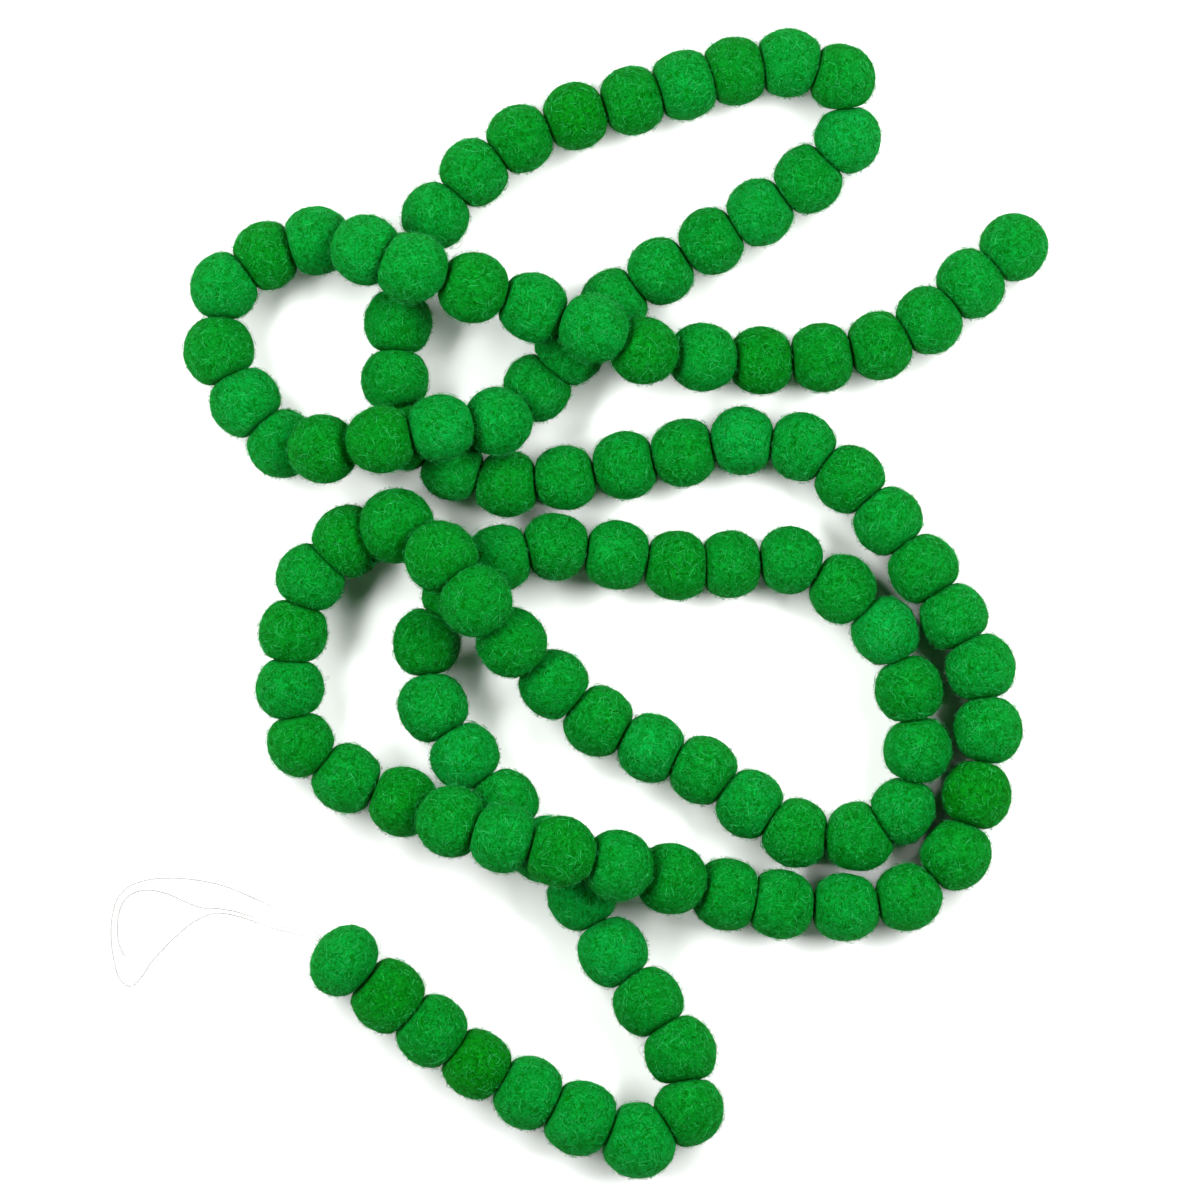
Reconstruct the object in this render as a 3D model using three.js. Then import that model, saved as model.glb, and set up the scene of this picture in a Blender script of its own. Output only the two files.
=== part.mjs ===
// A felt ball garland: 115 wool felt balls strung face to face on one clear nylon thread, laid
// down on a table in loose loops that pass over themselves. The thread shows at one end only, as
// a hanging loop and a free tail.
// Millimetres, +Z up. The origin is on the table, under the middle of the laid garland.
import * as THREE from "three";

// Driving dimensions.
const pixel = 0.37; // what one pixel of the 1200 pixel photograph covers on the table
const middle = { right: 615, down: 603.5 }; // the photograph's pixel over the origin
const squash = 0.95; // a ball's size along the thread, as a share of its size across
const lastBallHalf = 10.4; // from the last ball's middle to the face that the thread leaves
const flatDepth = 0.5; // how far a ball is pressed flat where it stands on the table
const snapDepth = 1.2; // a corner this near the table belongs to the flat spot
const gap = 0.3; // between separate pieces
const longestStep = 23.7; // the most thread between the middles of two neighbours
const easyRise = 0.15; // how steeply the thread rises where its neighbours are that far apart
const threadAcross = 0.5;
const threadSides = 8;

// The facets.
const sides = 10; // round a ball
const bands = 5; // from one end of a ball to the other
const facetReach = 1.01; // corners stand this much outside the round ball, flats inside it
const openCone = 0.21; // half angle of the flat end of a ball with no neighbour, in radians

// How finely the sums are done.
const measuredSteps = 24; // lengths taken along the curve from one guide to the next
const settleRounds = 12;

// Where the thread goes: the balls that guide it, by their number from the upper right end, with
// the middle of each in the photograph's pixels and its size across the thread in millimetres.
// The balls between them are spread evenly along a smooth curve.
const guides = [
  // From the free end at the upper right to the first crossing.
  { ball: 1, right: 1014, down: 248, size: 25 },
  { ball: 4, right: 879, down: 346, size: 25.5 },
  { ball: 8, right: 644, down: 351, size: 25 },
  { ball: 9, right: 592, down: 329, size: 25.5 },
  { ball: 12, right: 414, down: 270, size: 26 },
  // Round the small loop at the upper left, and back over the long hairpin.
  { ball: 14, right: 317, down: 241, size: 25.5 },
  { ball: 16, right: 224, down: 287, size: 25 },
  { ball: 17, right: 219, down: 351, size: 26 },
  { ball: 19, right: 282, down: 443, size: 25.5 },
  { ball: 20, right: 324, down: 449, size: 25.5 },
  { ball: 22, right: 441, down: 429, size: 24.5 },
  { ball: 23, right: 498, down: 421, size: 25 },
  // Up the right side of the long hairpin, round its tip, and down its left side.
  { ball: 25, right: 571, down: 350, size: 25 },
  { ball: 26, right: 614, down: 304, size: 25 },
  { ball: 31, right: 847, down: 139, size: 25 },
  { ball: 32, right: 841, down: 78, size: 25 },
  { ball: 33, right: 788, down: 63, size: 25.5 },
  { ball: 36, right: 633, down: 101, size: 25.5 },
  { ball: 38, right: 520, down: 139, size: 25.5 },
  { ball: 40, right: 436, down: 216, size: 25 },
  { ball: 42, right: 398, down: 322, size: 25 },
  { ball: 44, right: 409, down: 436, size: 25 },
  { ball: 46, right: 506, down: 483, size: 24.5 },
  // The outer course of the big loop, down the right and back along the bottom.
  { ball: 48, right: 624, down: 466, size: 25 },
  { ball: 51, right: 802, down: 447, size: 25.5 },
  { ball: 56, right: 980, down: 667, size: 25.5 },
  { ball: 57, right: 988, down: 730, size: 25.5 },
  { ball: 59, right: 955, down: 855, size: 25.5 },
  { ball: 60, right: 908, down: 897, size: 25 },
  { ball: 62, right: 781, down: 904, size: 26 },
  { ball: 65, right: 618, down: 864, size: 26.5 },
  { ball: 67, right: 503, down: 836, size: 26 },
  // Round the loop at the lower left.
  { ball: 69, right: 403, down: 801, size: 26 },
  { ball: 71, right: 301, down: 743, size: 25 },
  { ball: 74, right: 311, down: 578, size: 25.5 },
  { ball: 76, right: 397, down: 526, size: 27 },
  { ball: 79, right: 512, down: 643, size: 26 },
  // The inner course of the big loop, slantwise down, up the right, and back along the top.
  { ball: 81, right: 599, down: 721, size: 25.5 },
  { ball: 83, right: 703, down: 771, size: 25.5 },
  { ball: 85, right: 796, down: 833, size: 25.5 },
  { ball: 86, right: 857, down: 837, size: 25.5 },
  { ball: 87, right: 903, down: 809, size: 24.5 },
  { ball: 88, right: 917, down: 750, size: 25.5 },
  { ball: 90, right: 885, down: 632, size: 25 },
  { ball: 92, right: 790, down: 560, size: 25.5 },
  { ball: 93, right: 730, down: 564, size: 25 },
  { ball: 94, right: 677, down: 565, size: 25.5 },
  { ball: 96, right: 556, down: 547, size: 25.5 },
  { ball: 97, right: 499, down: 559, size: 25 },
  // Under the lower left loop, and out to the last ball.
  { ball: 99, right: 426, down: 643, size: 25 },
  { ball: 100, right: 433, down: 706, size: 25.5 },
  { ball: 104, right: 581, down: 896, size: 25 },
  { ball: 105, right: 613, down: 953, size: 25.5 },
  { ball: 107, right: 680, down: 1052, size: 26.5 },
  { ball: 108, right: 688, down: 1110, size: 26 },
  { ball: 109, right: 638, down: 1140, size: 28 },
  { ball: 110, right: 581, down: 1118, size: 28 },
  { ball: 112, right: 477, down: 1064, size: 26 },
  { ball: 115, right: 344, down: 960, size: 28 },
];

// The stretches that lie on top where the thread crosses itself, by the numbers of their balls.
const upperStretches = [
  { from: 8, to: 13 },
  { from: 20, to: 24 },
  { from: 64, to: 68 },
  { from: 76, to: 79 },
];

// Each solid is two balls pressed together. The first has three, because their number is odd.
const ballsInFirstPiece = 3;
const ballsInPiece = 2;

// The thread's two visible runs, as points on their middle line in millimetres. Both leave the
// last ball, drop to the table and lie on it. The hanging loop comes back into the same ball.
const threadRuns = [
  {
    name: "thread_loop",
    steps: 54,
    points: [
      [-109.05, -125.76, 13.6],
      [-110.9, -124.2, 13.4],
      [-117.4, -122.4, 10.4],
      [-125.4, -120.8, 4.2],
      [-132.5, -118.4, 1.1],
      [-140.5, -115.9, 0.3],
      [-148.4, -114.9, 0.3],
      [-155.8, -117.8, 0.3],
      [-162.1, -122.7, 0.3],
      [-167.5, -128.0, 0.3],
      [-172.1, -133.0, 0.3],
      [-175.6, -138.4, 0.3],
      [-179.6, -142.0, 0.3],
      [-183.6, -139.6, 0.3],
      [-185.6, -134.0, 0.3],
      [-187.0, -124.5, 0.3],
      [-186.6, -116.0, 0.3],
      [-184.6, -109.5, 0.3],
      [-180.2, -104.9, 0.3],
      [-172.1, -102.3, 0.3],
      [-162.8, -101.9, 0.3],
      [-153.0, -102.9, 0.3],
      [-144.7, -104.9, 0.3],
      [-137.4, -107.8, 0.3],
      [-130.6, -110.8, 0.6],
      [-123.5, -113.8, 2.9],
      [-117.5, -116.6, 7.6],
      [-112.5, -120.2, 12.0],
      [-109.3, -122.9, 13.5],
      [-107.75, -124.24, 13.6],
    ],
  },
  {
    name: "thread_tail",
    steps: 26,
    points: [
      [-108.4, -125.0, 13.6],
      [-110.2, -123.4, 13.5],
      [-117.2, -120.8, 11.0],
      [-125.8, -119.1, 5.0],
      [-133.0, -116.7, 1.5],
      [-140.3, -114.4, 0.3],
      [-147.0, -113.2, 0.3],
      [-153.6, -112.8, 0.3],
      [-160.0, -110.4, 0.3],
      [-166.4, -107.6, 0.3],
      [-174.0, -106.3, 0.3],
      [-180.2, -108.2, 0.3],
      [-183.4, -112.6, 0.3],
      [-184.6, -118.6, 0.3],
      [-184.2, -125.6, 0.3],
      [-181.9, -131.3, 0.3],
    ],
  },
];

const feltColour = new THREE.Color().setRGB(0.035, 0.5, 0.13, THREE.SRGBColorSpace);
const threadColour = new THREE.Color().setRGB(0.93, 0.94, 0.93, THREE.SRGBColorSpace);

// The balls, each with its number, its radius and the place of its middle over the table.
function layBalls() {
  const route = new THREE.CatmullRomCurve3(
    guides.map((guide) => new THREE.Vector3(
      (guide.right - middle.right) * pixel,
      (middle.down - guide.down) * pixel,
      0,
    )),
    false,
    "centripetal",
  );
  route.arcLengthDivisions = (guides.length - 1) * measuredSteps;
  const lengths = route.getLengths();
  const balls = [];
  guides.forEach((guide, index) => {
    const next = guides[index + 1] ?? guide;
    const count = Math.max(next.ball - guide.ball, 1);
    const reached = lengths[index * measuredSteps];
    const further = next === guide ? 0 : lengths[(index + 1) * measuredSteps] - reached;
    for (let step = 0; step < count; step++) {
      const share = step / count;
      balls.push({
        number: guide.ball + step,
        radius: (guide.size + share * (next.size - guide.size)) / 2,
        centre: route.getPointAt((reached + share * further) / route.getLength()),
      });
    }
  });
  return balls;
}

function liesOnTop(ball) {
  return upperStretches.some((stretch) => ball.number >= stretch.from && ball.number <= stretch.to);
}

// The distance between two balls as seen from above.
function apartInPlan(a, b) {
  return Math.hypot(a.centre.x - b.centre.x, a.centre.y - b.centre.y);
}

// Raises the balls of the upper stretches until they just clear the balls under them, and their
// neighbours as far as the thread between them pulls them up. All others stand on the table.
function settle(balls) {
  for (const ball of balls) ball.centre.z = ball.radius - flatDepth;
  for (let round = 0; round < settleRounds; round++) {
    for (const upper of balls.filter(liesOnTop))
      for (const lower of balls.filter((ball) => !liesOnTop(ball))) {
        const touching = facetReach * (upper.radius + lower.radius) + gap;
        const apart = apartInPlan(upper, lower);
        if (apart >= touching || Math.abs(upper.number - lower.number) === 1) continue;
        const rise = Math.sqrt(touching ** 2 - apart ** 2);
        upper.centre.z = Math.max(upper.centre.z, lower.centre.z + rise);
      }
    for (let index = 1; index < balls.length; index++) {
      const [a, b] = [balls[index - 1], balls[index]];
      const apart = apartInPlan(a, b);
      const slack = Math.sqrt(Math.max(longestStep ** 2 - apart ** 2, 0));
      const steepest = Math.max(slack, easyRise * apart);
      a.centre.z = Math.max(a.centre.z, b.centre.z - steepest);
      b.centre.z = Math.max(b.centre.z, a.centre.z - steepest);
    }
  }
}

// Gives each ball its two ends: which way the thread runs there, and how far the end face is from
// the ball's middle. Two neighbours are pressed flat against each other between their middles.
function findEnds(balls) {
  balls.forEach((ball, index) => {
    const next = balls[index + 1];
    if (!next) return;
    const along = next.centre.clone().sub(ball.centre);
    const apart = along.length();
    along.normalize();
    const half = (apart * ball.radius) / (ball.radius + next.radius);
    ball.ahead = { along, half };
    next.back = { along, half: apart - half };
  });
  const [first, last] = [balls[0], balls[balls.length - 1]];
  first.back = { along: first.ahead.along, half: first.radius * squash * Math.cos(openCone) };
  last.ahead = { along: last.back.along, half: lastBallHalf };
}

// One ring of corners round a ball. share runs from 0 at its back face to 1 at its front face. The
// ring's plane turns with the thread, and the corner pairs at the bottom lie level.
function ringOf(ball, share, faceGap) {
  const along = ball.back.along.clone().lerp(ball.ahead.along, share).normalize();
  const side = along.clone().cross(new THREE.Vector3(0, 0, 1)).normalize();
  const top = side.clone().cross(along);
  const across = ball.radius * facetReach;
  const coneOf = (end) => {
    const long = Math.max(ball.radius * squash, end.half / Math.cos(openCone));
    return { long, angle: Math.acos(end.half / long) };
  };
  const [back, ahead] = [coneOf(ball.back), coneOf(ball.ahead)];
  const angle = back.angle + share * (Math.PI - ahead.angle - back.angle);
  const long = back.long + share * (ahead.long - back.long);
  const offset = -long * Math.cos(angle) + (share === 0 ? faceGap : 0) - (share === 1 ? faceGap : 0);
  const ring = [];
  for (let corner = 0; corner < sides; corner++) {
    const turn = ((corner + 0.5) / sides) * 2 * Math.PI;
    const point = ball.centre.clone()
      .addScaledVector(along, offset)
      .addScaledVector(top, -across * Math.sin(angle) * Math.cos(turn))
      .addScaledVector(side, across * Math.sin(angle) * Math.sin(turn));
    if (point.z < snapDepth) point.z = 0;
    ring.push(point);
  }
  return ring;
}

// A closed solid through rings of corners, with a flat face on the first and the last ring.
function loft(rings) {
  const corners = rings.flat().flatMap((point) => point.toArray());
  const faces = [];
  const at = (ring, corner) => ring * sides + (corner % sides);
  for (let ring = 0; ring < rings.length - 1; ring++)
    for (let corner = 0; corner < sides; corner++) {
      const [a, b] = [at(ring, corner), at(ring + 1, corner)];
      const [c, d] = [at(ring + 1, corner + 1), at(ring, corner + 1)];
      faces.push(a, b, c, a, c, d);
    }
  for (let corner = 1; corner < sides - 1; corner++) {
    const last = rings.length - 1;
    faces.push(at(0, 0), at(0, corner), at(0, corner + 1));
    faces.push(at(last, 0), at(last, corner + 1), at(last, corner));
  }
  const geometry = new THREE.BufferGeometry();
  geometry.setAttribute("position", new THREE.Float32BufferAttribute(corners, 3));
  geometry.setIndex(faces);
  geometry.computeVertexNormals();
  return geometry;
}

// The rings of balls fused at their pressed faces, where two neighbours share one ring.
function ringsOf(balls) {
  const rings = [];
  balls.forEach((ball, index) => {
    for (let band = 0; band <= bands; band++) {
      const ring = ringOf(ball, band / bands, gap / 2);
      const shared = band === 0 && index > 0;
      if (shared) rings[rings.length - 1].forEach((corner, n) => corner.lerp(ring[n], 0.5));
      else rings.push(ring);
    }
  });
  return rings;
}

function feltPiece(balls) {
  const material = new THREE.MeshStandardMaterial({ color: feltColour, roughness: 1, metalness: 0 });
  const piece = new THREE.Mesh(loft(ringsOf(balls)), material);
  const numbers = balls.map((ball) => String(ball.number).padStart(3, "0"));
  piece.name = `balls_${numbers[0]}_${numbers[numbers.length - 1]}`;
  return piece;
}

function threadPiece(run) {
  const path = new THREE.CatmullRomCurve3(
    run.points.map((point) => new THREE.Vector3(...point)),
    false,
    "centripetal",
  );
  const section = new THREE.Shape().absarc(0, 0, threadAcross / 2, 0, 2 * Math.PI);
  const geometry = new THREE.ExtrudeGeometry(section, {
    steps: run.steps,
    curveSegments: threadSides / 2, // an arc gets two corners for each
    bevelEnabled: false,
    extrudePath: path,
  });
  const material = new THREE.MeshStandardMaterial({ color: threadColour, roughness: 0.3, metalness: 0 });
  const piece = new THREE.Mesh(geometry, material);
  piece.name = run.name;
  return piece;
}

const garland = new THREE.Group();
const balls = layBalls();
settle(balls);
findEnds(balls);
let start = 0;
while (start < balls.length) {
  const count = start === 0 ? ballsInFirstPiece : ballsInPiece;
  garland.add(feltPiece(balls.slice(start, start + count)));
  start += count;
}
for (const run of threadRuns) garland.add(threadPiece(run));

export default garland;
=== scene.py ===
# %% [markdown]
# # A garland of felt balls
#
# The real garland is 115 balls of green wool felt, each about 25 mm across, strung face to face
# on one clear nylon thread and laid on a table in loose loops that pass over themselves. A
# maker rolls each ball wet in the palms until the wool mats, dries it, and threads it with a
# long needle. So every ball is a little out of round, pressed flat where it meets the next,
# and covered in short curly fibres.
#
# The lesson builds it in that order: the view, the thread, the balls, the fibres that stand off
# them, the finishes, and last the table and the light. All lengths are in metres.

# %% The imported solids
from types import SimpleNamespace

import bpy
import numpy as np
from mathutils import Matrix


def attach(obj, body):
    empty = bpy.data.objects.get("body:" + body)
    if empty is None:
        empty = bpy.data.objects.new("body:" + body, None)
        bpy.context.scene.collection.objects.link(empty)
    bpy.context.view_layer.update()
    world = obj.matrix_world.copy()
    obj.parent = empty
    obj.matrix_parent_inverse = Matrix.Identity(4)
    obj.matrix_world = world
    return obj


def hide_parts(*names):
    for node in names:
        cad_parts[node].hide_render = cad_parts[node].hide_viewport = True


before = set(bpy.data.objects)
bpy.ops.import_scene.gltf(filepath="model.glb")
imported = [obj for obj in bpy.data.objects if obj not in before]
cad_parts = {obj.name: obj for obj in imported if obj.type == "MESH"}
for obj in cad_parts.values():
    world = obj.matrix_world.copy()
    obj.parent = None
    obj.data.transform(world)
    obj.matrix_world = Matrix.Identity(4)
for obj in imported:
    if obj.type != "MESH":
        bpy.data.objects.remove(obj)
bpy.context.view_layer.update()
felt_nodes = sorted(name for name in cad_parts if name.startswith("balls_"))
print(f"{len(felt_nodes)} felt solids, {len(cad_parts)} solids in all")

# %% [markdown]
# ## The view
#
# The garland is seen from straight above. A long lens far away keeps the balls that lie on top
# of others the same size as the rest. The view is 1200 pixels wide, and one of them covers
# 0.37 mm at the height of the balls' middles, so the lens follows from the distance.

# %% The camera
photo_size = 1200
pixel = 0.00037
origin_right = 615  # the pixel over the origin
origin_down = 603.5
middle_height = 0.0123
camera_distance = 4.0
sensor_width = 36.0

view_width = photo_size * pixel
camera_data = bpy.data.cameras.new("overhead_camera")
camera_data.sensor_width = sensor_width
camera_data.lens = sensor_width * camera_distance / view_width
camera_data.clip_end = 3 * camera_distance
camera = bpy.data.objects.new("overhead_camera", camera_data)
camera.location = (
    (photo_size / 2 - origin_right) * pixel,
    (origin_down - photo_size / 2) * pixel,
    middle_height + camera_distance,
)
bpy.context.scene.collection.objects.link(camera)
bpy.context.scene.camera = camera
print(f"a {camera_data.lens:.0f} mm lens sees {view_width * 1000:.0f} mm of the table")

# %% [markdown]
# ## The thread
#
# A clear nylon thread runs through every ball and shows only past the last one: a knotted
# loop to hang the garland by, and the short tail of the knot. Both leave the ball, drop to
# the table and lie on it. A line like this is a few listed points with a smooth curve through
# them. The centripetal Catmull-Rom curve passes through its points without the small loops
# that other curves make where the points are unevenly spaced.

# %% The thread's route
thread_across = 0.0005

loop_route = [
    (-0.10905, -0.12576, 0.0136),
    (-0.1109, -0.1242, 0.0134),
    (-0.1174, -0.1224, 0.0104),
    (-0.1254, -0.1208, 0.0042),
    (-0.1325, -0.1184, 0.0011),
    (-0.1405, -0.1159, 0.0003),
    (-0.1484, -0.1149, 0.0003),
    (-0.1558, -0.1178, 0.0003),
    (-0.1621, -0.1227, 0.0003),
    (-0.1675, -0.1280, 0.0003),
    (-0.1721, -0.1330, 0.0003),
    (-0.1756, -0.1384, 0.0003),
    (-0.1796, -0.1420, 0.0003),
    (-0.1836, -0.1396, 0.0003),
    (-0.1856, -0.1340, 0.0003),
    (-0.1870, -0.1245, 0.0003),
    (-0.1866, -0.1160, 0.0003),
    (-0.1846, -0.1095, 0.0003),
    (-0.1802, -0.1049, 0.0003),
    (-0.1721, -0.1023, 0.0003),
    (-0.1628, -0.1019, 0.0003),
    (-0.1530, -0.1029, 0.0003),
    (-0.1447, -0.1049, 0.0003),
    (-0.1374, -0.1078, 0.0003),
    (-0.1306, -0.1108, 0.0006),
    (-0.1235, -0.1138, 0.0029),
    (-0.1175, -0.1166, 0.0076),
    (-0.1125, -0.1202, 0.0120),
    (-0.1093, -0.1229, 0.0135),
    (-0.10775, -0.12424, 0.0136),
]
tail_route = [
    (-0.1084, -0.1250, 0.0136),
    (-0.1102, -0.1234, 0.0135),
    (-0.1172, -0.1208, 0.0110),
    (-0.1258, -0.1191, 0.0050),
    (-0.1330, -0.1167, 0.0015),
    (-0.1403, -0.1144, 0.0003),
    (-0.1470, -0.1132, 0.0003),
    (-0.1536, -0.1128, 0.0003),
    (-0.1600, -0.1104, 0.0003),
    (-0.1664, -0.1076, 0.0003),
    (-0.1740, -0.1063, 0.0003),
    (-0.1802, -0.1082, 0.0003),
    (-0.1834, -0.1126, 0.0003),
    (-0.1846, -0.1186, 0.0003),
    (-0.1842, -0.1256, 0.0003),
    (-0.1819, -0.1313, 0.0003),
]


def smooth_line(route, steps=8):
    """Points on the centripetal Catmull-Rom curve through a route.

    Each span's length in the curve's own time is the square root of its real length. The slope
    at a point mixes the slopes of its two spans, and between two points the curve is the cubic
    with those places and slopes. One more span at each end repeats the end one.
    """
    route = np.array(route)
    padded = np.vstack([2 * route[0] - route[1], route, 2 * route[-1] - route[-2]])
    time = np.sqrt(np.linalg.norm(np.diff(padded, axis=0), axis=1))[:, None]
    slope = np.diff(padded, axis=0) / time
    across_two = (padded[2:] - padded[:-2]) / (time[1:] + time[:-1])
    at_point = slope[:-1] - across_two + slope[1:]
    first, last = route[:-1, None], route[1:, None]
    span = time[1:-1, None]
    leaves, arrives = at_point[:-1, None] * span, at_point[1:, None] * span
    share = np.linspace(0, 1, steps, endpoint=False)[None, :, None]
    square, cube = share**2, share**3
    line = (
        first * (2 * cube - 3 * square + 1)
        + last * (3 * square - 2 * cube)
        + leaves * (cube - 2 * square + share)
        + arrives * (cube - square)
    )
    return np.vstack([line.reshape(-1, 3), route[-1]])


# %% [markdown]
# A line becomes a thread when a small ring is carried along it. At each point the ring stands
# square to the way onward, on two directions at right angles: one is square to the way onward
# and to a fixed direction, the other to both. The function takes many lines at once, because
# the fibres of the felt are made by it too.

# %% Rings along lines
nearly_up = np.array([0.02, 0.03, 1.0])  # leans a little, so that no line runs along it


def sweep(lines, across, sides):
    """Points and faces of a thin closed tube along each line of an array, pointed at its ends.

    A corner is middle + across / 2 * (cos(turn) * aside + sin(turn) * over), with its turn
    even round the ring. Each tube's two end points come last.
    """
    count, places = lines.shape[:2]
    rings = places - 2
    onward = lines[:, 2:] - lines[:, :-2]
    onward /= np.linalg.norm(onward, axis=2, keepdims=True)
    aside = np.cross(onward, nearly_up)
    aside /= np.linalg.norm(aside, axis=2, keepdims=True)
    over = np.cross(onward, aside)
    turn = 2 * np.pi * np.arange(sides) / sides
    round_ring = (
        aside[:, :, None] * np.cos(turn)[:, None] + over[:, :, None] * np.sin(turn)[:, None]
    )
    corners = lines[:, 1:-1, None] + across / 2 * round_ring
    points = np.concatenate([corners.reshape(count, -1, 3), lines[:, :1], lines[:, -1:]], 1)
    here = np.arange(sides)
    beside = (here + 1) % sides
    row = (sides * np.arange(rings - 1))[:, None]
    near_half = np.stack([row + here, row + beside, row + sides + beside], 2)
    far_half = np.stack([row + here, row + sides + beside, row + sides + here], 2)
    first_tip, last_tip, last_row = sides * rings, sides * rings + 1, sides * (rings - 1)
    first_fan = np.stack([np.full(sides, first_tip), beside, here], 1)
    last_fan = np.stack([np.full(sides, last_tip), last_row + here, last_row + beside], 1)
    halves = np.concatenate([near_half, far_half]).reshape(-1, 3)
    faces = np.concatenate([halves, first_fan, last_fan])
    starts = (points.shape[1] * np.arange(count))[:, None, None]
    return points.reshape(-1, 3), (starts + faces).reshape(-1, 3)


def build_mesh(name, points, *groups):
    """A smooth mesh object from an array of points and arrays of faces, one for each size."""
    corners = np.concatenate([faces.ravel() for faces in groups])
    counts = np.concatenate([np.full(len(faces), faces.shape[1]) for faces in groups])
    mesh = bpy.data.meshes.new(name)
    mesh.vertices.add(len(points))
    mesh.vertices.foreach_set("co", points.astype(np.float32).ravel())
    mesh.loops.add(len(corners))
    mesh.loops.foreach_set("vertex_index", corners.astype(np.int32))
    mesh.polygons.add(len(counts))
    mesh.polygons.foreach_set("loop_start", (np.cumsum(counts) - counts).astype(np.int32))
    mesh.polygons.foreach_set("use_smooth", np.ones(len(counts), bool))
    mesh.update(calc_edges=True)
    made = bpy.data.objects.new(name, mesh)
    bpy.context.scene.collection.objects.link(made)
    return made


# %% The thread's two runs
thread_sides = 10


def lay_thread(name, node, route):
    """A round thread along a route."""
    line = smooth_line(route)
    line[:, 2] = np.maximum(line[:, 2], thread_across / 2)
    thread = build_mesh(name, *sweep(line[None], thread_across, thread_sides))
    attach(thread, "root")
    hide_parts(node)
    return thread


hanging_loop = lay_thread("hanging_loop", "thread_loop", loop_route)
loose_tail = lay_thread("loose_tail", "thread_tail", tail_route)

# %% [markdown]
# ## Where the balls are
#
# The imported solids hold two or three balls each, as rings of corners. A sphere that fits a
# ball's corners best gives its middle and size, and no solver is needed: for a point p on a
# sphere with middle c and radius r, p.p = 2 c.p + (r.r - c.c), which is a plain linear sum in
# c and in the bracket. To sort the corners of a solid between its balls, each corner is given
# to the ball whose middle is nearest, the middles are worked out again, and so on.

# %% Balls from solids
corner_reach = 1.02  # a ball's size across the thread, over that of the sphere in its corners
table_skin = 0.0001  # corners lower than this are on the table
sorting_rounds = 6


def corners_of(node):
    """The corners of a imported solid, each one once, less those on the table."""
    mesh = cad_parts[node].data
    places = np.empty(3 * len(mesh.vertices), np.float32)
    mesh.vertices.foreach_get("co", places)
    corners = np.unique(places.reshape(-1, 3).round(6), axis=0).astype(float)
    return corners[corners[:, 2] > table_skin]


def fit_sphere(points):
    """The middle and radius of the sphere nearest to the points, by least squares."""
    sums = np.c_[2 * points, np.ones(len(points))]
    found = np.linalg.lstsq(sums, (points**2).sum(axis=1), rcond=None)[0]
    middle = found[:3]
    return middle, np.sqrt(found[3] + middle @ middle)


def balls_in(node):
    """The middles and radii of a solid's balls, in order along the solid."""
    first, last = (int(number) for number in node.split("_")[1:])
    count = last - first + 1
    corners = corners_of(node)
    centred = corners - corners.mean(axis=0)
    long_way = np.linalg.svd(centred, full_matrices=False)[2][0]
    places = centred @ long_way
    share = (np.arange(count) + 0.5) / count
    along = places.min() + share * np.ptp(places)
    middles = corners.mean(axis=0) + along[:, None] * long_way
    for _ in range(sorting_rounds):
        gaps = np.linalg.norm(corners[:, None] - middles, axis=2)
        nearest = gaps.argmin(axis=1)
        fits = [fit_sphere(corners[nearest == ball]) for ball in range(count)]
        middles = np.array([middle for middle, _ in fits])
    return middles, corner_reach * np.array([radius for _, radius in fits])


# %% The string of balls
def string_up(nodes):
    """Every ball in order along the thread: middles, radii and the node of each.

    A solid's balls are turned round where that brings them nearer to the solids beside it.
    """
    found = [balls_in(node) for node in nodes]
    inner = [middles.mean(axis=0) for middles, _ in found]
    middles, radii, owners = [], [], []
    for index, (places, sizes) in enumerate(found):
        before = inner[max(index - 1, 0)]
        after = inner[min(index + 1, len(inner) - 1)]
        turn = -1 if (places[-1] - places[0]) @ (after - before) < 0 else 1
        middles.append(places[::turn])
        radii.append(sizes[::turn])
        owners += [nodes[index]] * len(places)
    return np.vstack(middles), np.concatenate(radii), owners


middles, radii, owners = string_up(felt_nodes)
steps = np.linalg.norm(np.diff(middles, axis=0), axis=1)
print(f"{len(middles)} balls, {2000 * radii.min():.1f} to {2000 * radii.max():.1f} mm across")
print(f"{steps.sum():.2f} m of thread, {1000 * steps.mean():.1f} mm from ball to ball")

# %% [markdown]
# ## The shape of one ball
#
# Wool felt gives way where it is pressed. A ball starts as a round form, a little longer or
# shorter along the thread, with slow and quick lumps left by the hand. The thread pulls the
# balls together, so each is made long enough to meet its neighbours, and the knot squeezes
# the last one short. Each neighbour, each ball that lies against it and the table cut it off
# with a plane, softly. One formula does this for any direction out of the ball's middle, so
# the same function shapes the surface and later roots the fibres: with the round form at
# distance R and the planes at distances P, the surface is at (R^-k + sum of P^-k)^(-1/k). A
# large k keeps close to the nearest of them and rounds the edge between them.

# %% What presses on each ball
press = 16  # the k of that formula
longest, shortest = 1.06, 0.98  # a ball's length along the thread, over its width
end_length = 0.80  # and that of the last ball, which the knot has squeezed
fullness = 1.12  # the least length of a ball, over the way to its farther neighbour's face
near_enough = 1.035  # balls nearer than this times their radii press on each other
mingled = 0.0001  # how far the wool of two balls mixes where they meet
lean = 0.16  # how far the plane between two neighbours leans, rise over run
shape_seed = 1000

# Each kind of lump is a number of waves, their radians for each radius of way along the felt,
# and their size together as a share of the radius.
lump_waves = {
    "slow": (3, 2.2, 0.020),
    "middling": (6, 5.0, 0.007),
    "quick": (12, 12.0, 0.0045),
    "fine": (24, 24.0, 0.0028),
}


def waves(draw, count, pace, size):
    """Random waves over a sphere of directions: each has a way it runs, a pace and a phase."""
    ways = draw.normal(size=(count, 3))
    ways *= pace / np.linalg.norm(ways, axis=1)[:, None]
    return ways, draw.uniform(0, 2 * np.pi, count), np.full(count, size / np.sqrt(count))


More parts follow.
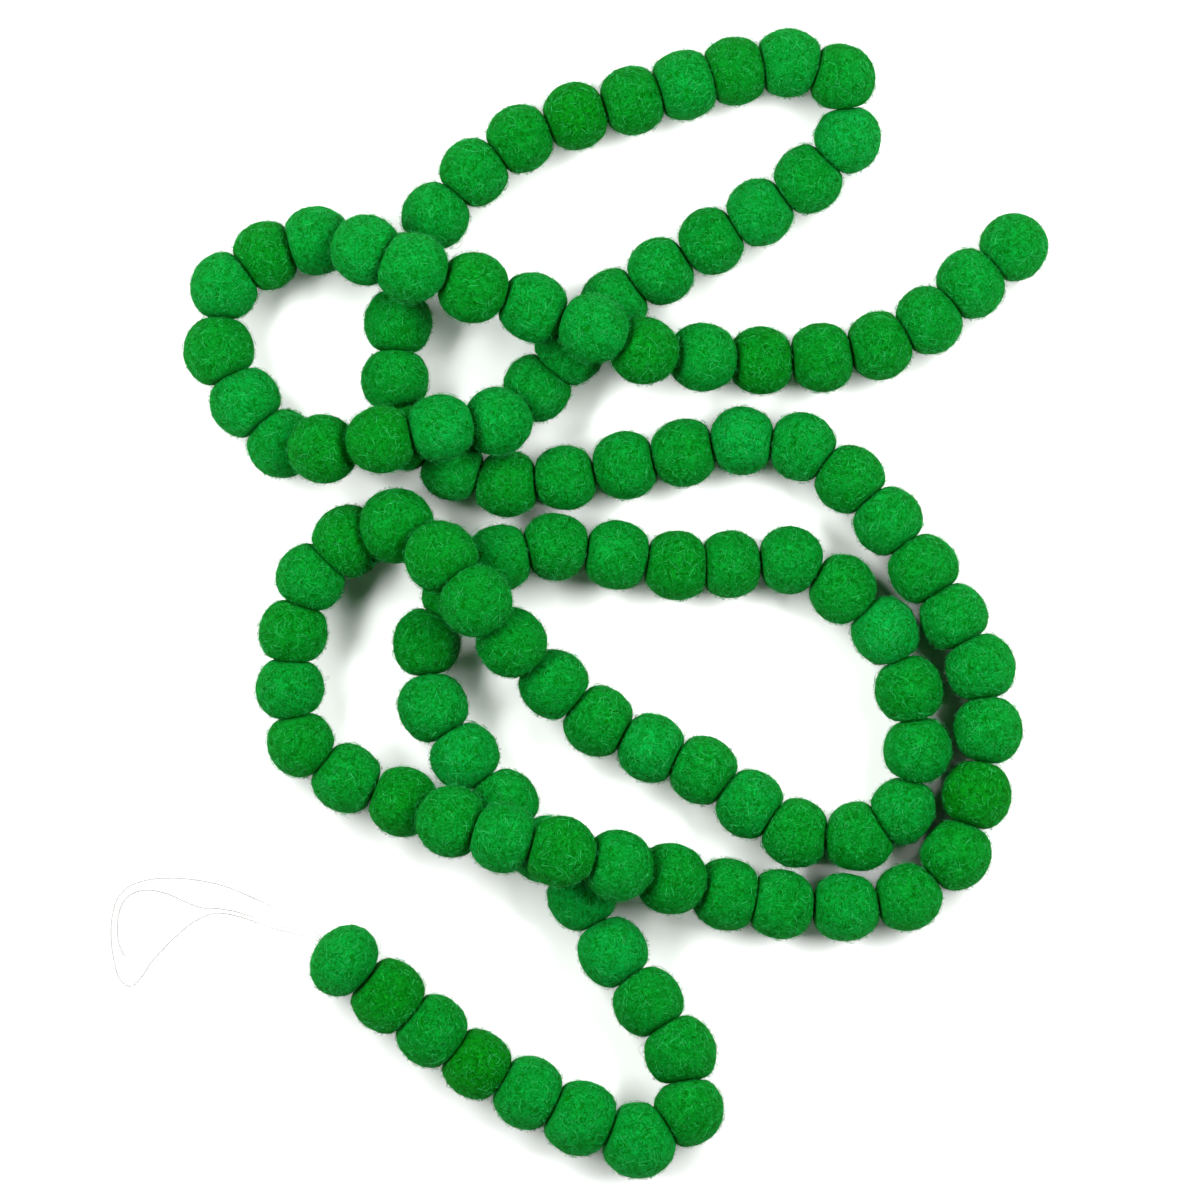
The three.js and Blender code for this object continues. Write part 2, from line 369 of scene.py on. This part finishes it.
def describe(index):
    """All that shapes one ball: its middle, axes, lumps and the planes that press on it."""
    draw = np.random.default_rng(shape_seed + index)
    middle, radius = middles[index], radii[index]
    before = middles[max(index - 1, 0)]
    after = middles[min(index + 1, len(middles) - 1)]
    along = (after - before) / np.linalg.norm(after - before)
    side = np.cross(along, [0, 0, 1])
    side /= np.linalg.norm(side)

    ways_out = middles - middle
    apart = np.linalg.norm(ways_out, axis=1)
    pressed = apart < near_enough * (radii + radius)
    pressed[max(index - 1, 0) : index + 2] = True
    pressed[index] = False
    others = np.flatnonzero(pressed)
    planes = ways_out[others] / apart[others, None]
    depths = apart[others] * radius / (radii[others] + radius) + mingled
    strung = abs(others - index) == 1
    halfway = depths[strung].max()
    straight = planes.copy()
    planes[:, 2] += lean * np.sign(others - index) * strung
    planes /= np.linalg.norm(planes, axis=1)[:, None]
    depths *= (planes * straight).sum(axis=1)
    planes = np.vstack([planes, [0, 0, -1]])
    depths = np.append(depths, middle[2])

    long_share = draw.uniform(shortest, longest)
    if index == len(middles) - 1:
        long_share = end_length

    lumps = [waves(draw, *kind) for kind in lump_waves.values()]
    return SimpleNamespace(
        middle=middle,
        radius=radius,
        length=max(radius * long_share, fullness * halfway),
        along=along,
        side=side,
        up=np.cross(side, along),
        planes=planes,
        depths=depths,
        lumps=[np.concatenate(parts) for parts in zip(*lumps)],
    )


def reach(ball, ways):
    """How far the felt reaches from a ball's middle in each unit direction of an array."""
    along = ways @ ball.along
    across = 1 - along**2
    round_form = 1 / np.sqrt((along / ball.length) ** 2 + across / ball.radius**2)
    runs, phases, sizes = ball.lumps
    round_form *= 1 + np.cos(ways @ runs.T + phases) @ sizes
    facing = np.maximum(ways @ ball.planes.T, 0)
    pressing = ((facing * ball.radius / ball.depths) ** press).sum(axis=1)
    return ball.radius * ((ball.radius / round_form) ** press + pressing) ** (-1 / press)


balls = [describe(index) for index in range(len(middles))]
print(f"{sum(len(ball.depths) for ball in balls) / len(balls):.1f} planes press on a ball")

# %% [markdown]
# ## The ball as a mesh
#
# The surface is a grid of two parameters, as on a globe whose poles are where the thread goes
# through: one turns round the thread, the other runs from the back pole to the front one. The
# poles, where a globe's grid is pinched, are then hidden between the balls. Faces go round
# each cell of the grid the same way, so that they all point out, and a fan closes each pole.

# %% Grids and meshes
cells_round = 40
cells_along = 28


def globe(columns, rows):
    """Unit directions of a globe in its own axes, with its faces: fans at the poles, then cells.

    At share v of the way between the poles and u of the way round, the direction is
    (-cos(pi v), sin(pi v) cos(2 pi u), sin(pi v) sin(2 pi u)). The poles come last.
    """
    tilt = np.pi * np.arange(1, rows) / rows
    turn = 2 * np.pi * np.arange(columns) / columns
    tilt, turn = (grid.ravel() for grid in np.meshgrid(tilt, turn, indexing="ij"))
    ways = np.c_[-np.cos(tilt), np.sin(tilt) * np.cos(turn), np.sin(tilt) * np.sin(turn)]
    ways = np.vstack([ways, [[-1, 0, 0], [1, 0, 0]]])
    here = np.arange(columns)
    beside = (here + 1) % columns
    row = (np.arange(rows - 2) * columns)[:, None]
    cells = np.stack([row + here, row + beside, row + columns + beside, row + columns + here], 2)
    back, front = len(ways) - 2, len(ways) - 1
    top = (rows - 2) * columns
    back_fan = np.c_[np.full(columns, back), beside, here]
    front_fan = np.c_[np.full(columns, front), top + here, top + beside]
    return ways, cells.reshape(-1, 4), np.vstack([back_fan, front_fan])


def felt_points(ball, ways):
    """A ball's surface points for directions given in the ball's own axes."""
    turned = ways @ np.array([ball.along, ball.up, ball.side])
    return ball.middle + turned * reach(ball, turned)[:, None]


# %% The felt balls
shade_seed = 3000


def felt_piece(node):
    """The balls of one solid as one mesh, with each ball's shade of dye as an attribute."""
    ways, cells, fans = globe(cells_round, cells_along)
    members = [index for index, owner in enumerate(owners) if owner == node]
    points = np.vstack([felt_points(balls[index], ways) for index in members])
    starts = (len(ways) * np.arange(len(members)))[:, None, None]
    piece = build_mesh(
        f"{node}_felt",
        points,
        (starts + cells).reshape(-1, 4),
        (starts + fans).reshape(-1, 3),
    )
    shades = [np.random.default_rng(shade_seed + index).normal() for index in members]
    shade = piece.data.attributes.new("shade", "FLOAT", "POINT")
    shade.data.foreach_set("value", np.repeat(shades, len(ways)).astype(np.float32))
    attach(piece, "root")
    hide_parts(node)
    return piece


felt_pieces = [felt_piece(node) for node in felt_nodes]
print(f"{sum(len(piece.data.polygons) for piece in felt_pieces)} faces of felt")

# %% [markdown]
# ## The fibres
#
# Wool felt is never quite smooth: curls lie on it, and loops and ends of fibre stand about a
# millimetre off it, which gives a ball its soft outline. Blender has hair for this, but hair
# is left out of an exported model, so each fibre is a thin closed mesh of its own: one or two
# rings of three corners, or eight for the few long hairs, with a point at each end. A real
# fibre is far thinner, so each of these stands for a small lock of them. All the fibres of a
# kind on a ball are worked out at once, as arrays: a root on the ball, a way along its
# surface, a bend sideways and a height that rises and falls again (a loop) or keeps rising
# (an end).

# %% The kinds of fibre
# A count is for one ball. Tints are the shares of pale, middle and deep fibres, and loops is
# the share of fibres that come back to the felt.
fibre_kinds = {
    "curls": {
        "count": 110, "rings": 2, "across": 0.00022, "tints": (0.20, 0.50, 0.30),
        "length": (0.003, 0.007), "height": (0.0, 0.0001), "loops": 1.0,
    },
    "loops": {
        "count": 180, "rings": 2, "across": 0.00013, "tints": (0.50, 0.42, 0.08),
        "length": (0.0015, 0.004), "height": (0.0003, 0.0011), "loops": 0.7,
    },
    "ends": {
        "count": 470, "rings": 1, "across": 0.00014, "tints": (0.70, 0.28, 0.02),
        "length": (0.0006, 0.0018), "height": (0.0004, 0.0012), "loops": 0.3,
    },
    "hairs": {
        "count": 2, "rings": 8, "across": 0.00011, "tints": (0.60, 0.40, 0.0),
        "length": (0.006, 0.013), "height": (0.0008, 0.0025), "loops": 0.6,
    },
}
sunk = 0.0001  # how far the roots are below the felt
lowest_fibre = 0.00014  # the least height of a fibre's middle over the table
hairy = 0.4  # the share of balls with long hairs
fibre_sides = 3
fibre_seed = 5000

# %% [markdown]
# No fibre starts where the felt is pressed. The directions are drawn at random, a few for
# each fibre that is wanted, and those that point at a near plane are dropped.


# %% Fibres on a ball
spare_roots = 3  # directions drawn for each fibre
free_of_planes = 0.90  # the radius over the way to the nearest plane, at most, where one starts
most_bend = 0.9  # of a fibre's length
most_curl = 0.25


def rooted(ball, draw, count):
    """Random directions at which the felt is free: not pressed by a ball or by the table."""
    ways = draw.normal(size=(spare_roots * count, 3))
    ways /= np.linalg.norm(ways, axis=1)[:, None]
    facing = np.maximum(ways @ ball.planes.T, 0)
    free = (facing * ball.radius / ball.depths).max(axis=1) < free_of_planes
    return ways[free][:count]


def fibre_lines(ball, draw, kind):
    """The middle lines of fibres, as an array of fibres, points and coordinates.

    At share s of its length a fibre has gone length * s along the felt and has bent sideways
    by bend * s * s + curl * sin(2 pi s). Its rise is sin(pi s) as a loop, or s as an end, and
    it stands height * rise - sunk * (1 - rise) off the felt.
    """
    roots = rooted(ball, draw, kind["count"])
    count = len(roots)
    spin = draw.normal(size=(count, 3))
    onward = np.cross(roots, spin)
    onward /= np.linalg.norm(onward, axis=1)[:, None]
    aside = np.cross(roots, onward)
    share = np.linspace(0, 1, kind["rings"] + 2)[None, :, None]
    long = draw.uniform(*kind["length"], (count, 1, 1)) / ball.radius
    bend = long * draw.uniform(-most_bend, most_bend, (count, 1, 1))
    curl = long * draw.uniform(-most_curl, most_curl, (count, 1, 1))
    sideways = bend * share**2 + curl * np.sin(2 * np.pi * share)
    ways = roots[:, None] + long * share * onward[:, None] + sideways * aside[:, None]
    ways /= np.linalg.norm(ways, axis=2, keepdims=True)
    looped = draw.random((count, 1, 1)) < kind["loops"]
    rise = np.where(looped, np.sin(np.pi * share), share)
    high = draw.uniform(*kind["height"], (count, 1, 1)) * rise - sunk * (1 - rise)
    felt = reach(ball, ways.reshape(-1, 3)).reshape(count, -1, 1)
    lines = ball.middle + ways * (felt + high)
    lines[..., 2] = np.maximum(lines[..., 2], lowest_fibre)
    return lines


# %% The fuzz of each piece
def fuzz_piece(node):
    """The fibres of one solid's balls, each fibre with one of three tints."""
    parts = []
    tints = []
    for index, owner in enumerate(owners):
        if owner != node:
            continue
        draw = np.random.default_rng(fibre_seed + index)
        for name, kind in fibre_kinds.items():
            if name == "hairs" and draw.random() > hairy:
                continue
            lines = fibre_lines(balls[index], draw, kind)
            points, faces = sweep(lines, kind["across"], fibre_sides)
            parts.append((points, faces))
            tint = draw.choice(len(kind["tints"]), len(lines), p=kind["tints"])
            tints.append(np.repeat(tint, len(faces) // len(lines)))
    starts = np.cumsum([0] + [len(points) for points, _ in parts])
    points = np.vstack([points for points, _ in parts])
    faces = np.vstack([start + faces for start, (_, faces) in zip(starts, parts)])
    piece = build_mesh(f"{node}_fuzz", points, faces)
    piece.data.polygons.foreach_set("material_index", np.concatenate(tints).astype(np.int32))
    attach(piece, "root")
    return piece


fuzz_pieces = [fuzz_piece(node) for node in felt_nodes]
print(f"{sum(len(piece.data.polygons) for piece in fuzz_pieces)} faces of fibre")

# %% [markdown]
# ## The finish of the felt
#
# Felt scatters light evenly, and its fibres add only a weak, wide green gloss. Its colour is
# never flat: pale fibres lie over a deep green ground, with painted shade in the gaps between
# them and slow clouds of dye, and each ball has its own shade of dye, from a duller to a bluer
# green. The fibres are drawn by a trick with noise: where a smooth noise passes through its
# middle value it draws long, thin, curly lines, and a second noise breaks them into strokes.
# Three layers of pale strokes and one of gaps darkened with painted shade cross each other. The
# same pattern is the bump, where the gaps sink in.


# %% Nodes
def add_node(tree, kind, inputs=None, **settings):
    """A shader node. inputs gives its sockets a value each, or another node's output."""
    made = tree.nodes.new(kind)
    for name, value in settings.items():
        setattr(made, name, value)
    for name, value in (inputs or {}).items():
        if isinstance(value, bpy.types.NodeSocket):
            tree.links.new(value, made.inputs[name])
        else:
            made.inputs[name].default_value = value
    return made


def maths(tree, operation, *values, clamp=False):
    """The output of a Math node."""
    inputs = dict(enumerate(values))
    made = add_node(tree, "ShaderNodeMath", inputs, operation=operation, use_clamp=clamp)
    return made.outputs[0]


def blend_colours(tree, share, first, second):
    """The output of a Mix node between two colours, whose sockets for colours are 6 and 7."""
    inputs = {0: share, 6: first, 7: second}
    return add_node(tree, "ShaderNodeMix", inputs, data_type="RGBA").outputs[2]


def new_finish(name):
    """An empty material, with its tree and its Principled shader."""
    material = bpy.data.materials.new(name)
    material.use_nodes = True
    tree = material.node_tree
    return material, tree, tree.nodes["Principled BSDF"]


# %% Strokes of noise
stroke_warp = 1.5  # how far the lines are bent
breaker_pace = 0.8  # the pace of the noise that breaks the lines, over theirs
breaker_warp = 0.5
breaker_move = 0.5
stroke_end = 7.0  # how sharply a stroke ends


def moved(tree, place, by):
    """The same places, further along, so that two layers of noise don't repeat each other."""
    step = (by, 0.7 * by, -by)
    added = add_node(tree, "ShaderNodeVectorMath", {0: place, 1: step}, operation="ADD")
    return added.outputs[0]


def noise_at(tree, place, scale, detail=2.0, warp=0.0):
    """The output of a noise, about 0.2 to 0.8."""
    inputs = {"Vector": place, "Scale": scale, "Detail": detail, "Distortion": warp}
    return add_node(tree, "ShaderNodeTexNoise", inputs).outputs["Fac"]


def strokes(tree, place, scale, width, keep):
    """Short curly strokes, 1 on a stroke and 0 off it.

    A line is 1 - |noise - 0.5| / width, and it is kept where a slower noise is over 1 - keep.
    """
    noise = noise_at(tree, place, scale, 1, stroke_warp)
    off = maths(tree, "ABSOLUTE", maths(tree, "SUBTRACT", noise, 0.5))
    line = maths(tree, "SUBTRACT", 1.0, maths(tree, "DIVIDE", off, width), clamp=True)
    elsewhere = moved(tree, place, breaker_move)
    slower = noise_at(tree, elsewhere, breaker_pace * scale, 0, breaker_warp)
    start = -stroke_end * (1 - keep)
    kept = maths(tree, "MULTIPLY_ADD", slower, stroke_end, start, clamp=True)
    return maths(tree, "MULTIPLY", line, kept)


# %% Felt
deep_green = (0.0005, 0.056, 0.0003, 1)
wool_green = (0.0009, 0.109, 0.0026, 1)
dull_green = (0.0024, 0.228, 0.008, 1)
pale_green = (0.0032, 0.315, 0.052, 1)
# the painted shade in the gaps between the fibres
gap_shade_green = (0.0003, 0.024, 0.0003, 1)
gloss_green = (0.05, 1.0, 0.15, 1)

# Each layer of strokes is a scale, a width and a keep, as the function above takes them.
stroke_layers = {
    "coarse": (250, 0.050, 0.75),
    "middling": (460, 0.085, 0.70),
    "fine": (640, 0.105, 0.70),
    # the gaps layer is painted shade between the fibres, and sinks in the bump
    "gaps": (360, 0.06, 0.50),
}
grain_scale = 900
cloud_scale = 110
cloud_warp = 0.6
shade_share = 0.34  # how far a ball's own shade moves its dye
dye_slope, dye_start = 0.6, 0.2  # a straight line from tone to dye
grain_slope, grain_start = 1.6, -0.6  # and from grain to wool
# the gaps cover the ground with painted shade
gap_shade_cover = 0.6  # how much of the ground the gaps and then the fibres hide
fibre_cover = 0.7
grain_relief, gap_relief = 0.5, -0.5  # their heights, over a fibre's
bump_strength = 0.7
bump_height = 0.00035


def felt_finish():
    """Green wool felt."""
    material, tree, shader = new_finish("green_felt")
    place = add_node(tree, "ShaderNodeTexCoord").outputs["Object"]
    shade = add_node(tree, "ShaderNodeAttribute", attribute_name="shade").outputs["Fac"]

    coarse = strokes(tree, place, *stroke_layers["coarse"])
    middling = strokes(tree, moved(tree, place, 1.0), *stroke_layers["middling"])
    fine = strokes(tree, moved(tree, place, 2.0), *stroke_layers["fine"])
    fibres = maths(tree, "MAXIMUM", maths(tree, "MAXIMUM", coarse, middling), fine)
    # gaps between the fibres: painted shade in the colour, and hollows in the bump
    gaps = strokes(tree, moved(tree, place, 3.0), *stroke_layers["gaps"])
    grain = noise_at(tree, moved(tree, place, 4.0), grain_scale, 3)
    clouds = noise_at(tree, moved(tree, place, 5.0), cloud_scale, 3, cloud_warp)

    tone = maths(tree, "MULTIPLY_ADD", shade, shade_share, clouds)
    dyed = maths(tree, "MULTIPLY_ADD", tone, dye_slope, dye_start, clamp=True)
    grainy = maths(tree, "MULTIPLY_ADD", grain, grain_slope, grain_start, clamp=True)
    ground = blend_colours(tree, dyed, deep_green, wool_green)
    ground = blend_colours(tree, grainy, ground, wool_green)
    # painted shade darkens the ground in the gaps
    covered = maths(tree, "MULTIPLY", gaps, gap_shade_cover)
    ground = blend_colours(tree, covered, ground, gap_shade_green)
    pale = blend_colours(tree, dyed, dull_green, pale_green)
    covered = maths(tree, "MULTIPLY", fibres, fibre_cover)
    colour = blend_colours(tree, covered, ground, pale)

    relief = maths(tree, "MULTIPLY_ADD", grain, grain_relief, fibres)
    relief = maths(tree, "MULTIPLY_ADD", gaps, gap_relief, relief)
    bump_inputs = {"Strength": bump_strength, "Distance": bump_height, "Height": relief}
    bump = add_node(tree, "ShaderNodeBump", bump_inputs)

    tree.links.new(colour, shader.inputs["Base Color"])
    tree.links.new(bump.outputs[0], shader.inputs["Normal"])
    shader.inputs["Roughness"].default_value = 1.0
    shader.inputs["Specular IOR Level"].default_value = 0.10
    shader.inputs["Specular Tint"].default_value = gloss_green
    shader.inputs["Sheen Weight"].default_value = 0.03
    shader.inputs["Sheen Roughness"].default_value = 0.4
    shader.inputs["Sheen Tint"].default_value = gloss_green
    return material


green_felt = felt_finish()
for piece in felt_pieces:
    piece.data.materials.append(green_felt)
print(f"{len(green_felt.node_tree.nodes)} nodes make the felt")

# %% [markdown]
# The fibres that stand off the felt are the same wool, a little paler because light goes
# through them. Each is too thin to carry a pattern, and what varies is the dye from fibre to
# fibre, so there are three tints, dealt out at random.

# %% Fuzz
fibre_tints = {
    "pale_fibre": (0.028, 0.37, 0.090, 1),
    "middle_fibre": (0.0020, 0.19, 0.015, 1),
    "deep_fibre": (0.0006, 0.065, 0.001, 1),
}


def fibre_finish(name, colour):
    """Single fibres of green wool."""
    material, _, shader = new_finish(name)
    shader.inputs["Base Color"].default_value = colour
    shader.inputs["Roughness"].default_value = 0.9
    shader.inputs["Specular IOR Level"].default_value = 0.12
    shader.inputs["Specular Tint"].default_value = (0.05, 1.0, 0.4, 1)
    return material


fibre_finishes = [fibre_finish(name, colour) for name, colour in fibre_tints.items()]
for piece in fuzz_pieces:
    for finish in fibre_finishes:
        piece.data.materials.append(finish)
print(f"{len(fibre_finishes)} tints of fibre on {len(fuzz_pieces)} pieces")

# %% [markdown]
# The thread is clear nylon: light goes through it, bent and a little dimmed. On the bright
# table it is no more than a faint grey line, a little cloudier in some places.

# %% Nylon
cloudy_nylon = (0.50, 0.51, 0.49, 1)
bright_nylon = (0.58, 0.59, 0.56, 1)
nylon_cloud_scale = 350


def nylon_finish():
    """Clear nylon line, a little cloudy."""
    material, tree, shader = new_finish("clear_nylon")
    place = add_node(tree, "ShaderNodeTexCoord").outputs["Object"]
    cloud = noise_at(tree, place, nylon_cloud_scale)
    colour = blend_colours(tree, cloud, cloudy_nylon, bright_nylon)
    tree.links.new(colour, shader.inputs["Base Color"])
    shader.inputs["Roughness"].default_value = 0.5
    shader.inputs["IOR"].default_value = 1.53
    shader.inputs["Transmission Weight"].default_value = 0.55
    return material


clear_nylon = nylon_finish()
for thread in (hanging_loop, loose_tail):
    thread.data.materials.append(clear_nylon)
print(f"{clear_nylon.users} runs of thread in {clear_nylon.name}")

# %% [markdown]
# ## Table and light
#
# The garland lies on a white table, with a large soft light on each side of it and pale light
# from all round, but for the dark stand overhead that holds the camera. Both lights stand a
# little towards the far side, so that the near sides of the balls are the darker ones. The
# table is lit past white, which hides the soft shadows in the open. The narrow places between
# the balls see little but the dark stand, so they stay dark.

# %% The table
table_side = 6.0
dull_white = (0.90, 0.90, 0.895, 1)
clean_white = (0.93, 0.93, 0.93, 1)
board_cloud_scale = 6


def table_finish():
    """Matt white board, with the faintest unevenness."""
    material, tree, shader = new_finish("white_table")
    place = add_node(tree, "ShaderNodeTexCoord").outputs["Object"]
    cloud = noise_at(tree, place, board_cloud_scale)
    colour = blend_colours(tree, cloud, dull_white, clean_white)
    tree.links.new(colour, shader.inputs["Base Color"])
    shader.inputs["Roughness"].default_value = 0.9
    shader.inputs["Specular IOR Level"].default_value = 0.1
    return material


half = table_side / 2
table = build_mesh(
    "white_table",
    np.array([[-half, -half, 0], [half, -half, 0], [half, half, 0], [-half, half, 0]]),
    np.array([[0, 1, 2, 3]]),
)
table.data.materials.append(table_finish())
print(f"a table {table_side:.0f} m across")

# %% The light
light_distance = 1.4
light_height_angle = 49.5  # degrees above the table
light_turn = 19.0  # degrees from straight beside the garland, towards the far side
light_wide = 1.3
light_tall = 0.36
light_power = 32.0
surroundings = 0.55  # the brightness of the walls all round
overhead = 0.0  # and of the dark stand that holds the camera
walls_end = 0.50  # the sine of the angle over the table where the walls begin to fade
stand_starts = 0.70  # and where the stand begins


def side_light(name, turn):
    """A wide, low soft light, aimed at the origin. It shines along its own -Z."""
    lamp_data = bpy.data.lights.new(name, "AREA")
    lamp_data.shape = "RECTANGLE"
    lamp_data.size = light_wide
    lamp_data.size_y = light_tall
    lamp_data.energy = light_power
    lamp = bpy.data.objects.new(name, lamp_data)
    rise, turn = np.radians(light_height_angle), np.radians(turn)
    lamp.location = light_distance * np.array(
        [np.cos(rise) * np.cos(turn), np.cos(rise) * np.sin(turn), np.sin(rise)]
    )
    lamp.rotation_euler = (np.pi / 2 - rise, 0, turn + np.pi / 2)
    bpy.context.scene.collection.objects.link(lamp)


for name, turn in (("right_light", light_turn), ("left_light", 180 - light_turn)):
    side_light(name, turn)
print(f"two lights of {light_power:.0f} W, {light_distance} m away")

# %% The surroundings
world = bpy.data.worlds.new("pale_surroundings")
world.use_nodes = True
sky = world.node_tree
way = add_node(sky, "ShaderNodeTexCoord").outputs["Generated"]
way_up = add_node(sky, "ShaderNodeSeparateXYZ", {"Vector": way}).outputs["Z"]
fade = {
    "Value": way_up,
    "From Min": walls_end,
    "From Max": stand_starts,
    "To Min": surroundings,
    "To Max": overhead,
}
strength = add_node(sky, "ShaderNodeMapRange", fade).outputs["Result"]
sky.links.new(strength, sky.nodes["Background"].inputs["Strength"])
sky.nodes["Background"].inputs["Color"].default_value = (1.0, 1.0, 1.0, 1)
bpy.context.scene.world = world
bpy.context.scene.view_settings.view_transform = "Standard"
